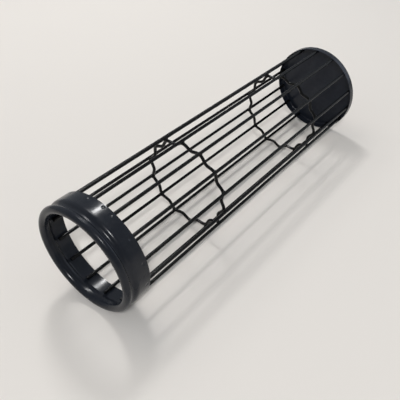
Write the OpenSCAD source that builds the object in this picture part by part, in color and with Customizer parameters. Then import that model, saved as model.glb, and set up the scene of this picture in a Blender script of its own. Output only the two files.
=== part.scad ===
// Baghouse filter cage: a wire basket that holds a filter bag open.
// Stands on its bottom cap, axis along +Z, collar on top. Millimetres.

/* [Cage] */
// Overall height, underside of the cap to the top of the collar lip
cage_h = 433.5; // [350:0.5:900]
// Radius of the circle the wires stand on
wire_circle_r = 56; // [45:0.5:80]
// Diameter of the long wires
wire_d = 3.6; // [3:0.1:6]
// Distance from the wire ends inside the collar up to the end of the plain band
wire_end_gap = 0.6; // [0.5:0.1:6]
// Clearance left at each weld so that no two pieces overlap
weld_gap = 0.05; // [0.02:0.01:0.2]

/* [Support rings] */
// Diameter of the wire the rings are bent from
ring_wire_d = 3.6; // [2.5:0.1:5]
// Depth of each inward wave, crest to dip
ring_wave = 4; // [2:0.1:10]
// Height of the lower ring above the base
lower_ring_z = 96; // [40:0.5:150]
// Distance between the two rings
ring_spacing = 190.5; // [100:0.5:200]

/* [Collar] */
// Sheet thickness of the collar
collar_wall = 1.5; // [1:0.1:2]
// Height of the plain band the wires are welded in
collar_band_h = 13; // [12:0.1:22]
// Height of the slope from the band to the bottom of the groove
groove_slope_h = 7.25; // [6:0.05:9]
// Height from the bottom of the groove to the widest line of the lip
groove_lip_h = 4; // [3.5:0.1:6]
// Depth of the groove
groove_d = 2.9; // [2.2:0.1:3.2]
// Radial width of the rolled lip
lip_w = 8.5; // [6:0.1:10]
// How much smaller the lip is than the band, on the radius
lip_step = 0.2; // [0:0.1:2]
// Length of the turned-down edge inside the lip
lip_skirt = 2; // [1:0.1:2.5]

/* [Bottom cap] */
// Height of the cap skirt
cap_h = 10.5; // [9:0.5:30]
// Sheet thickness of the cap
cap_wall = 1; // [0.8:0.1:2]
// Outside corner radius of the cap
cap_corner = 3; // [2.5:0.1:6]

/* [Hidden] */
$fn = 96;
wire_count = 14;
wire_step = 360 / wire_count;
wire_r = wire_d / 2;
sheet_in_r = wire_circle_r + wire_r + weld_gap;

// collar heights and radii
groove_bottom_z = collar_band_h + groove_slope_h;
lip_turn_z = groove_bottom_z + groove_lip_h;
collar_h = lip_turn_z + lip_w / 2;
collar_z = cage_h - collar_h;
half_wall = collar_wall / 2;
band_r = sheet_in_r + half_wall;
lip_r = band_r - lip_step;
lip_turn_r = (lip_w - collar_wall) / 2;
lip_groove_d = groove_d - lip_step;
// each side of the groove is two equal tangent arcs
band_bend = 2 * atan(groove_d / groove_slope_h);
lip_bend = 2 * atan(lip_groove_d / groove_lip_h);
band_arc_r = groove_slope_h / sin(band_bend) / 2;
lip_arc_r = groove_lip_h / sin(lip_bend) / 2;
groove_bottom_r = band_r - groove_d;
arc_steps = 8;
turn_steps = 20;

// cap radii
cap_r = sheet_in_r + cap_wall;
cap_in_corner = cap_corner - cap_wall;

// long wires
wire_foot_z = cap_corner + weld_gap;
wire_top_z = collar_z + collar_band_h - wire_end_gap;

// support rings
ring_wire_r = ring_wire_d / 2;
ring_crest_r = wire_circle_r - wire_r - weld_gap - ring_wire_r;
upper_ring_z = lower_ring_z + ring_spacing;
ring_stations = wire_count * 10;
ring_sides = 10;

paint = [0.09, 0.10, 0.12];
wire_paint = [0.06, 0.06, 0.07];

// A bend in the sheet: points as [radius, height, angle of the outer face].
function bend_in(c, r, a0, a1, n) =
    [for (i = [0 : n]) let (a = a0 + (a1 - a0) * i / n) [c[0] + r * cos(a), c[1] + r * sin(a), a]];
function bend_out(c, r, a0, a1, n) =
    [for (i = [0 : n]) let (a = a0 + (a1 - a0) * i / n) [c[0] - r * cos(a), c[1] - r * sin(a), a]];

// Middle line of the collar sheet, from the rear edge to the turned-down edge.
collar_line = concat(
    [[band_r, 0, 0]],
    bend_in([band_r - band_arc_r, collar_band_h], band_arc_r, 0, band_bend, arc_steps),
    bend_out([groove_bottom_r + band_arc_r, groove_bottom_z], band_arc_r, band_bend, 0, arc_steps),
    bend_out([groove_bottom_r + lip_arc_r, groove_bottom_z], lip_arc_r, 0, -lip_bend, arc_steps),
    bend_in([lip_r - lip_arc_r, lip_turn_z], lip_arc_r, -lip_bend, 0, arc_steps),
    bend_in([lip_r - lip_turn_r, lip_turn_z], lip_turn_r, 0, 180, turn_steps),
    [[lip_r - 2 * lip_turn_r, lip_turn_z - lip_skirt, 180]]);
function side(line, s) = [for (p = line) [p[0] + s * cos(p[2]), p[1] + s * sin(p[2])]];
function back(list) = [for (i = [len(list) - 1 : -1 : 0]) list[i]];
function same(a, b) = norm(a - b) < 0.0001;
function thin(list) = [for (i = [0 : len(list) - 1]) if (i == 0 || !same(list[i], list[i - 1])) list[i]];

// Support ring: a round wire bent in even waves, crests on the long wires.
function ring_r(a) = ring_crest_r - ring_wave / 2 * (1 - cos(wire_count * a));
function ring_slope(a) = -ring_wave / 2 * wire_count * sin(wire_count * a);
function ring_point(a, b) =
    let (r = ring_r(a), s = ring_slope(a), l = norm([r, s]),
         c = cos(b) * ring_wire_r / l)
    [r * cos(a) + c * (r * cos(a) + s * sin(a)),
     r * sin(a) + c * (r * sin(a) - s * cos(a)),
     ring_wire_r * sin(b)];

module collar() {
    color(paint)
    translate([0, 0, collar_z])
    rotate_extrude()
    polygon(thin(concat(side(collar_line, half_wall), back(side(collar_line, -half_wall)))));
}

module bottom_cap() {
    color(paint)
    rotate_extrude()
    polygon(concat(
        [[0, 0]],
        [for (i = [0 : 12]) let (a = -90 + 90 * i / 12)
            [cap_r - cap_corner + cap_corner * cos(a), cap_corner + cap_corner * sin(a)]],
        [[cap_r, cap_h], [sheet_in_r, cap_h]],
        [for (i = [0 : 12]) let (a = -90 * i / 12)
            [sheet_in_r - cap_in_corner + cap_in_corner * cos(a), cap_corner + cap_in_corner * sin(a)]],
        [[0, cap_wall]]));
}

module support_ring(z) {
    color(wire_paint)
    translate([0, 0, z])
    polyhedron(
        points = [for (i = [0 : ring_stations - 1]) for (j = [0 : ring_sides - 1])
            ring_point(i * 360 / ring_stations, j * 360 / ring_sides)],
        faces = [for (i = [0 : ring_stations - 1]) for (j = [0 : ring_sides - 1])
            let (k = (i + 1) % ring_stations, m = (j + 1) % ring_sides)
            for (half = [0, 1])
            half == 0
                ? [i * ring_sides + j, i * ring_sides + m, k * ring_sides + m]
                : [i * ring_sides + j, k * ring_sides + m, k * ring_sides + j]],
        convexity = 8);
}

module upper_ring() { support_ring(upper_ring_z); }
module lower_ring() { support_ring(lower_ring_z); }

module long_wire(n) {
    color(wire_paint)
    rotate([0, 0, (n - 1) * wire_step])
    translate([wire_circle_r, 0, wire_foot_z])
    cylinder(h = wire_top_z - wire_foot_z, r = wire_r);
}

collar();
bottom_cap();
upper_ring();
lower_ring();
long_wire(1);  // wire_01
long_wire(2);  // wire_02
long_wire(3);  // wire_03
long_wire(4);  // wire_04
long_wire(5);  // wire_05
long_wire(6);  // wire_06
long_wire(7);  // wire_07
long_wire(8);  // wire_08
long_wire(9);  // wire_09
long_wire(10);  // wire_10
long_wire(11);  // wire_11
long_wire(12);  // wire_12
long_wire(13);  // wire_13
long_wire(14);  // wire_14
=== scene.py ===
"""Looks of the baghouse filter cage: black paint on wire and pressed sheet,
weld beads at the joints, a pale table and soft light."""

import math

import bpy
from mathutils import Matrix, Vector


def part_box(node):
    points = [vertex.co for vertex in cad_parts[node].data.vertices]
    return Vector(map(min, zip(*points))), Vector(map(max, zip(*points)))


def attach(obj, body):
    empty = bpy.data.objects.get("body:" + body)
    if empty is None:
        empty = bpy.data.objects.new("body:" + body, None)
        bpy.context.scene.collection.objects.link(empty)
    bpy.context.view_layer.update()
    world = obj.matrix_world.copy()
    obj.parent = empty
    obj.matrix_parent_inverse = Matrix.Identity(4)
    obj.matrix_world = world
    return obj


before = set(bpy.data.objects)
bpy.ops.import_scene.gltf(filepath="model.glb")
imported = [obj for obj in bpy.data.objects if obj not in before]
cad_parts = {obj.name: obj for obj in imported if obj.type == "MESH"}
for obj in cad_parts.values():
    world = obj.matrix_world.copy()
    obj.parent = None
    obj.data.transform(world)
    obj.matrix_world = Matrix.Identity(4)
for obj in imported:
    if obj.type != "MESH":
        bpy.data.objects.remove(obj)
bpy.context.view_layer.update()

# The cage as the frame has it, in metres. The rings are welded to the inner side of
# the wires, and the collar and the cap to the outer side.
WIRES = sum(name.startswith("wire_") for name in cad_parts)
WIRE_STEP = 2 * math.pi / WIRES
WIRE_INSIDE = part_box("wire_01")[0].x
WIRE_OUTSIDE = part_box("wire_01")[1].x
BAND_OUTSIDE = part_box("collar")[1].x
COLLAR_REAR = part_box("collar")[0].z
UPPER_RING = sum(corner.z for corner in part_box("upper_ring")) / 2
LOWER_RING = sum(corner.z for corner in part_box("lower_ring")) / 2
CAP_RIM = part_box("bottom_cap")[1].z

# Unevenness of the paint: depth of its clouds against its fine skin, the clouds' share
# of the wear, where wear starts and ends, and what wear and skin add to the roughness
CLOUD_DEPTH = 3.0
CLOUD_SHARE = 0.4
WEAR_EDGE = (0.42, 0.7)
WEAR_ROUGH = 0.06
SKIN_ROUGH = 0.02

# Marks in the paint: their heights, the edge of each from its middle, and its depth
COLLAR_SPOTS = COLLAR_REAR + 0.0042
CAP_SPOTS = CAP_RIM * 0.55
SPOT_EDGE = (0.0006, 0.0024)
SPOT_DEPTH = 0.0004
NICK_TURN = math.radians(112.7)
BAND_NICK = (
    BAND_OUTSIDE * math.cos(NICK_TURN),
    BAND_OUTSIDE * math.sin(NICK_TURN),
    COLLAR_REAR + 0.0027,
)
NICK_EDGE = (0.0005, 0.0022)
NICK_DEPTH = 0.0005

# Weld beads: half sizes outward, around and along the cage, roughness and places
RING_BEAD = (0.0012, 0.0024, 0.0021)
COLLAR_BEAD = (0.0006, 0.0021, 0.0034)
CAP_BEAD = (0.0006, 0.0020, 0.0020)
RING_BEAD_ROUGH = 0.00025
SHEET_BEAD_ROUGH = 0.00015
UPPER_RING_JOINT = (WIRE_INSIDE, 0, UPPER_RING)
LOWER_RING_JOINT = (WIRE_INSIDE, 0, LOWER_RING)
SHEET_JOINT = WIRE_OUTSIDE - 0.0003
COLLAR_JOINT = (SHEET_JOINT, 0, COLLAR_REAR + 0.0055)
CAP_JOINT = (SHEET_JOINT, 0, CAP_RIM * 0.62)

# The table that the cage lies along, and the direction that it faces
TABLE_NORMAL = Vector((-0.6317, 0.7752, 0.0))
TABLE_GAP = 0.0002
TABLE_SIDE = 7.0
TABLE_COLOUR = (0.82, 0.79, 0.755, 1.0)

# The room, with a dim side where the light falls off
ROOM_COLOUR = (0.92, 0.96, 1.0, 1.0)
ROOM_LIGHT = 0.38
DIM_SIDE = Vector((0.07, 0.86, 0.50)).normalized()
DIM_EDGE = (0.45, 0.95)
DIM_LOSS = 0.13

# Where the lamps aim, and the way to the lamps that the collar's gloss shows
COLLAR_MIDDLE = Vector((0, 0, COLLAR_REAR + 0.01))
CAGE_MIDDLE = Vector((0, 0, 0.2))
CAP_MIDDLE = Vector((0, 0, CAP_RIM))
TUBES = Vector((-0.7417, 0.5389, -0.41))
ALONG_TUBES = Vector((TUBES.y, -TUBES.x, 0))
LIP_RISE = Vector((0, 0, 0.30))
FAR_TURN = ALONG_TUBES * 0.26
FAR_DROP = Vector((0, 0, 0.10))
WHITE = (1.0, 1.0, 1.0)
WARM = (1.0, 0.95, 0.89)
COOL = (0.76, 0.85, 1.0)

# The camera of the photograph, in metres, degrees and millimetres
CAMERA_PLACE = Vector((0.03491, 0.47077, 0.61582))
CAMERA_AIM = Vector((0.06636, 0.0, 0.22122))
CAMERA_ROLL = -131.916
CAMERA_LENS = 46.733
CAMERA_SENSOR = 36.0
CAMERA_SHIFT = -0.1472


class Value:
    """A number in a finish; an expression on values adds its Math nodes."""

    def __init__(self, finish, socket):
        self.finish = finish
        self.socket = socket

    def out(self, name):
        """Another output of the same node."""
        return Value(self.finish, self.socket.node.outputs[name])

    def __add__(self, other):
        return self.finish.math("ADD", self, other)

    def __sub__(self, other):
        return self.finish.math("SUBTRACT", self, other)

    def __rsub__(self, other):
        return self.finish.math("SUBTRACT", other, self)

    def __mul__(self, other):
        return self.finish.math("MULTIPLY", self, other)

    __radd__ = __add__
    __rmul__ = __mul__


class Finish:
    """A node tree of a material or the world, with one way to add any node."""

    def __init__(self, owner):
        owner.use_nodes = True
        self.tree = owner.node_tree
        self.tree.nodes.clear()

    def node(self, kind, settings=None, sockets=None, out=0):
        made = self.tree.nodes.new(kind)
        for name, setting in (settings or {}).items():
            setattr(made, name, setting)
        for name, given in (sockets or {}).items():
            if isinstance(given, Value):
                self.tree.links.new(given.socket, made.inputs[name])
            else:
                made.inputs[name].default_value = given
        return Value(self, made.outputs[out]) if made.outputs else None

    def math(self, operation, first, second=0.0):
        return self.node("ShaderNodeMath", {"operation": operation}, {0: first, 1: second})

    def compare(self, operation, first, second):
        """One number from two vectors, such as their distance."""
        return self.node(
            "ShaderNodeVectorMath",
            {"operation": operation},
            {0: first, 1: second},
            out="Value",
        )

    def smooth(self, number, low, high):
        """0 below low, 1 above high, with a soft change between."""
        return self.node(
            "ShaderNodeMapRange",
            {"interpolation_type": "SMOOTHSTEP"},
            {"Value": number, "From Min": low, "From Max": high},
        )

    def noise(self, place, scale, detail, roughness):
        return self.node(
            "ShaderNodeTexNoise",
            {},
            {"Vector": place, "Scale": scale, "Detail": detail, "Roughness": roughness},
        )

    def mix(self, share, first, second):
        return self.node(
            "ShaderNodeMix",
            {"data_type": "RGBA"},
            {0: share, 6: first, 7: second},
            out=2,
        )


def spot_dents(paint, place, row):
    """Height of the paint over a row of spot welds, one dent over each long wire."""
    split = paint.node("ShaderNodeSeparateXYZ", {}, {"Vector": place})
    turn = paint.math("ARCTAN2", split.out("Y"), split.out("X")) * (1 / WIRE_STEP)
    across = (turn - paint.math("ROUND", turn)) * (WIRE_STEP * BAND_OUTSIDE)
    along = split.out("Z") - row
    away = paint.math("SQRT", across * across + along * along)
    return paint.smooth(away, *SPOT_EDGE) * SPOT_DEPTH


def single_nick(paint, place, middle):
    """Height of the paint around one nick."""
    away = paint.compare("DISTANCE", place, middle)
    return paint.smooth(away, *NICK_EDGE) * NICK_DEPTH


def black_paint(name, dark, worn, roughness, specular, peel, spots=None, nick=None):
    """Semi-gloss black paint. peel is the depth of its fine unevenness, spots the
    height of a row of spot-weld dents, and nick the place of a single nick."""
    material = bpy.data.materials.new(name)
    paint = Finish(material)
    place = paint.node("ShaderNodeTexCoord", out="Object")
    cloud = paint.noise(place, scale=38.0, detail=3.0, roughness=0.55)
    grime = paint.noise(place, scale=160.0, detail=4.0, roughness=0.6)
    skin = paint.noise(place, scale=620.0, detail=2.0, roughness=0.5)
    height = skin * peel + cloud * (peel * CLOUD_DEPTH)
    if spots is not None:
        height = height + spot_dents(paint, place, spots)
    if nick is not None:
        height = height + single_nick(paint, place, nick)
    wear = paint.smooth(grime * (1 - CLOUD_SHARE) + cloud * CLOUD_SHARE, *WEAR_EDGE)
    surface = paint.node(
        "ShaderNodeBsdfPrincipled",
        {},
        {
            "Base Color": paint.mix(wear, dark, worn),
            "Roughness": roughness + wear * WEAR_ROUGH + skin * SKIN_ROUGH,
            "Metallic": 0.0,
            "Specular IOR Level": specular,
            "Normal": paint.node(
                "ShaderNodeBump",
                {},
                {"Strength": 1.0, "Distance": 1.0, "Height": height},
            ),
        },
    )
    paint.node("ShaderNodeOutputMaterial", {}, {"Surface": surface})
    return material


collar_paint = black_paint(
    "black_collar_paint",
    dark=(0.0120, 0.0145, 0.0205, 1.0),
    worn=(0.0165, 0.0190, 0.0250, 1.0),
    roughness=0.18,
    specular=0.25,
    peel=0.000002,
    spots=COLLAR_SPOTS,
    nick=BAND_NICK,
)
# The cap has the same black paint as the collar, made bluer and lighter here: painted shade,
# the cool tint of the shade over the cap and its hollow.
cap_paint_tinted_as_shade = black_paint(
    "black_cap_paint_tinted_as_shade",
    dark=(0.0140, 0.0175, 0.0265, 1.0),
    worn=(0.0185, 0.0220, 0.0310, 1.0),
    roughness=0.20,
    specular=0.25,
    peel=0.000002,
    spots=CAP_SPOTS,
)
wire_paint = black_paint(
    "black_wire_paint",
    dark=(0.0030, 0.0034, 0.0038, 1.0),
    worn=(0.0065, 0.0070, 0.0074, 1.0),
    roughness=0.22,
    specular=0.20,
    peel=0.0000006,
)
weld_paint = black_paint(
    "black_weld_paint",
    dark=(0.0050, 0.0055, 0.0062, 1.0),
    worn=(0.0100, 0.0102, 0.0110, 1.0),
    roughness=0.28,
    specular=0.25,
    peel=0.000015,
)

SHEET_PAINT = {"collar": collar_paint, "bottom_cap": cap_paint_tinted_as_shade}
for name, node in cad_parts.items():
    node.data.materials.clear()
    node.data.materials.append(SHEET_PAINT.get(name, wire_paint))


def weld_row(name, size, place, roughness, seed):
    """One weld bead, shaped and roughened, then copied to every long wire."""
    bpy.ops.object.select_all(action="DESELECT")
    bpy.ops.mesh.primitive_ico_sphere_add(subdivisions=3, radius=1.0)
    first = bpy.context.active_object
    first.name = first.data.name = name
    bpy.ops.object.mode_set(mode="EDIT")
    bpy.ops.mesh.select_all(action="SELECT")
    bpy.ops.transform.resize(value=size)
    bpy.ops.transform.vertex_random(offset=roughness, uniform=0.4, normal=0.8, seed=seed)
    bpy.ops.transform.translate(value=place)
    bpy.ops.object.mode_set(mode="OBJECT")
    bpy.ops.object.shade_smooth()
    beads = [first]
    for step in range(1, WIRES):
        bead = first.copy()
        bead.data = first.data.copy()
        bpy.context.scene.collection.objects.link(bead)
        bead.data.transform(Matrix.Rotation(step * WIRE_STEP, 4, "Z"))
        beads.append(bead)
    bpy.ops.object.select_all(action="DESELECT")
    for bead in beads:
        bead.select_set(True)
    bpy.context.view_layer.objects.active = first
    bpy.ops.object.join()
    first.data.materials.clear()
    first.data.materials.append(weld_paint)
    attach(first, "root")


weld_row("upper_ring_welds", RING_BEAD, UPPER_RING_JOINT, RING_BEAD_ROUGH, seed=3)
weld_row("lower_ring_welds", RING_BEAD, LOWER_RING_JOINT, RING_BEAD_ROUGH, seed=5)
weld_row("collar_welds", COLLAR_BEAD, COLLAR_JOINT, SHEET_BEAD_ROUGH, seed=7)
weld_row("cap_welds", CAP_BEAD, CAP_JOINT, SHEET_BEAD_ROUGH, seed=9)


def pale_table():
    """The pale table beside the cage, clear when it is seen from behind."""
    bpy.ops.object.select_all(action="DESELECT")
    bpy.ops.mesh.primitive_plane_add(size=TABLE_SIDE)
    table = bpy.context.active_object
    table.name = "table"
    turn = TABLE_NORMAL.to_track_quat("Z", "Y").to_matrix().to_4x4()
    centre = CAGE_MIDDLE - TABLE_NORMAL * (BAND_OUTSIDE + TABLE_GAP)
    table.data.transform(Matrix.Translation(centre) @ turn)
    material = bpy.data.materials.new("table_pale")
    pale = Finish(material)
    matt = pale.node("ShaderNodeBsdfDiffuse", {}, {"Color": TABLE_COLOUR, "Roughness": 0.6})
    behind = pale.node("ShaderNodeNewGeometry", out="Backfacing")
    clear = pale.node("ShaderNodeBsdfTransparent")
    surface = pale.node("ShaderNodeMixShader", {}, {0: behind, 1: matt, 2: clear})
    pale.node("ShaderNodeOutputMaterial", {}, {"Surface": surface})
    table.data.materials.append(material)


pale_table()


def lamp(name, toward, target, distance, size, power, across=None, colour=WHITE):
    """An area lamp that stands toward a direction from its target and faces it. Its
    width lies along across, or level."""
    data = bpy.data.lights.new(name, "AREA")
    data.shape = "RECTANGLE"
    data.size, data.size_y = size
    data.energy = power
    data.color = colour
    made = bpy.data.objects.new(name, data)
    bpy.context.scene.collection.objects.link(made)
    back = Vector(toward).normalized()
    right = across or Vector((0, 0, 1)).cross(back)
    right = (right - back * right.dot(back)).normalized()
    turn = Matrix((right, back.cross(right), back)).transposed().to_4x4()
    made.matrix_world = Matrix.Translation(target + back * distance) @ turn
    made.visible_camera = False
    return made


# A panel near the camera gives light and gloss
lamp(
    "near_panel",
    toward=(-0.0994, 0.9025, 0.417),
    target=COLLAR_MIDDLE,
    distance=1.8,
    size=(0.30, 0.14),
    power=10.5,
)

# These give light and shadows, and no gloss
far_panel = lamp(
    "far_panel",
    toward=TUBES - FAR_TURN - FAR_DROP,
    target=COLLAR_MIDDLE,
    distance=2.2,
    size=(0.34, 0.34),
    power=14.5,
    across=ALONG_TUBES,
)
soft_box = lamp(
    "soft_box",
    toward=(-1.10, 0.40, -0.10),
    target=CAGE_MIDDLE,
    distance=1.6,
    size=(1.0, 1.0),
    power=8.5,
    colour=WARM,
)
for panel in (far_panel, soft_box):
    panel.visible_glossy = False

# These show in the gloss of the band, the lip and the wires before the cap
band_tube = lamp(
    "band_tube",
    toward=TUBES,
    target=COLLAR_MIDDLE,
    distance=2.2,
    size=(0.15, 0.13),
    power=12.0,
    across=ALONG_TUBES,
)
lip_tube = lamp(
    "lip_tube",
    toward=TUBES + LIP_RISE,
    target=COLLAR_MIDDLE,
    distance=2.2,
    size=(0.50, 0.36),
    power=11.2,
    across=ALONG_TUBES,
)
wire_panel = lamp(
    "wire_panel",
    toward=(0.13, 0.56, -0.82),
    target=CAP_MIDDLE,
    distance=2.2,
    size=(1.4, 1.4),
    power=5.6,
    across=ALONG_TUBES,
    colour=COOL,
)
for panel in (band_tube, lip_tube, wire_panel):
    panel.visible_diffuse = False

world = bpy.data.worlds.new("pale_room")
bpy.context.scene.world = world
room = Finish(world)
facing = room.compare("DOT_PRODUCT", room.node("ShaderNodeTexCoord", out="Generated"), DIM_SIDE)
strength = ROOM_LIGHT - room.smooth(facing, *DIM_EDGE) * DIM_LOSS
background = room.node(
    "ShaderNodeBackground", {}, {"Color": ROOM_COLOUR, "Strength": strength}
)
room.node("ShaderNodeOutputWorld", {}, {"Surface": background})

camera = bpy.data.objects.new("camera", bpy.data.cameras.new("camera"))
bpy.context.scene.collection.objects.link(camera)
camera.data.sensor_width = CAMERA_SENSOR
camera.data.lens = CAMERA_LENS
camera.data.shift_x = CAMERA_SHIFT
camera.data.clip_start = 0.01
camera.data.clip_end = 50.0
look = (CAMERA_AIM - CAMERA_PLACE).to_track_quat("-Z", "Y").to_matrix().to_4x4()
roll = Matrix.Rotation(math.radians(CAMERA_ROLL), 4, "Z")
camera.matrix_world = Matrix.Translation(CAMERA_PLACE) @ look @ roll
bpy.context.scene.camera = camera
bpy.context.scene.view_settings.view_transform = "Standard"
